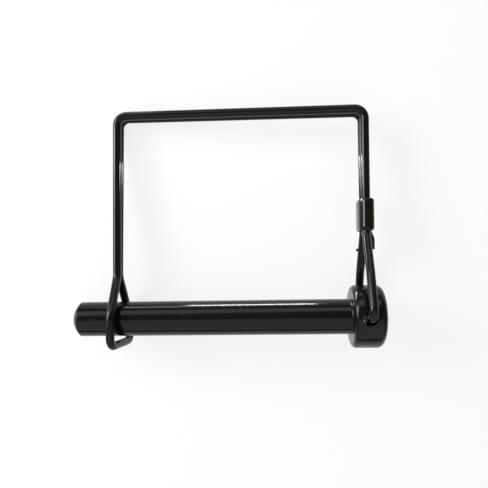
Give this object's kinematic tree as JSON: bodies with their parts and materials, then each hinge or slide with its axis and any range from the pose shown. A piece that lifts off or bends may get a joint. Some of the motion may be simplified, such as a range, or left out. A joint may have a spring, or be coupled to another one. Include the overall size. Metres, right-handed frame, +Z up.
{
  "type": "trailer hitch pin",
  "caption": "Round locking pin with a domed nose and a thick head, and a square doubled wire bail that swings on the head and springs over the nose.",
  "frame": {"origin": "on the shank's axis, at the head's face that the shank leaves", "axes": "the part lies on its wire as it comes to rest: +X along the shank to the head, within 3.1 degrees, +Y from the shank to the bail's top bar, +Z up"},
  "size_m": [0.089, 0.0685, 0.0238],
  "materials": {
    "pin_paint": "gloss",
    "wire_paint": "gloss",
    "ferrule_paint": "gloss"
  },
  "bodies": {
    "pin": {"lock_pin": "pin_paint"},
    "bail": {"wire_bail": "wire_paint", "ferrule": "ferrule_paint"}
  },
  "joints": [
    {"name": "bail_swing", "type": "hinge", "parent": "pin", "child": "bail", "pos_m": [0.00429, 0, 0.00022], "axis": [0.0515, -0.1056, -0.9931], "range_deg": [0, 245], "deforming": ["wire_bail"]}
  ]
}
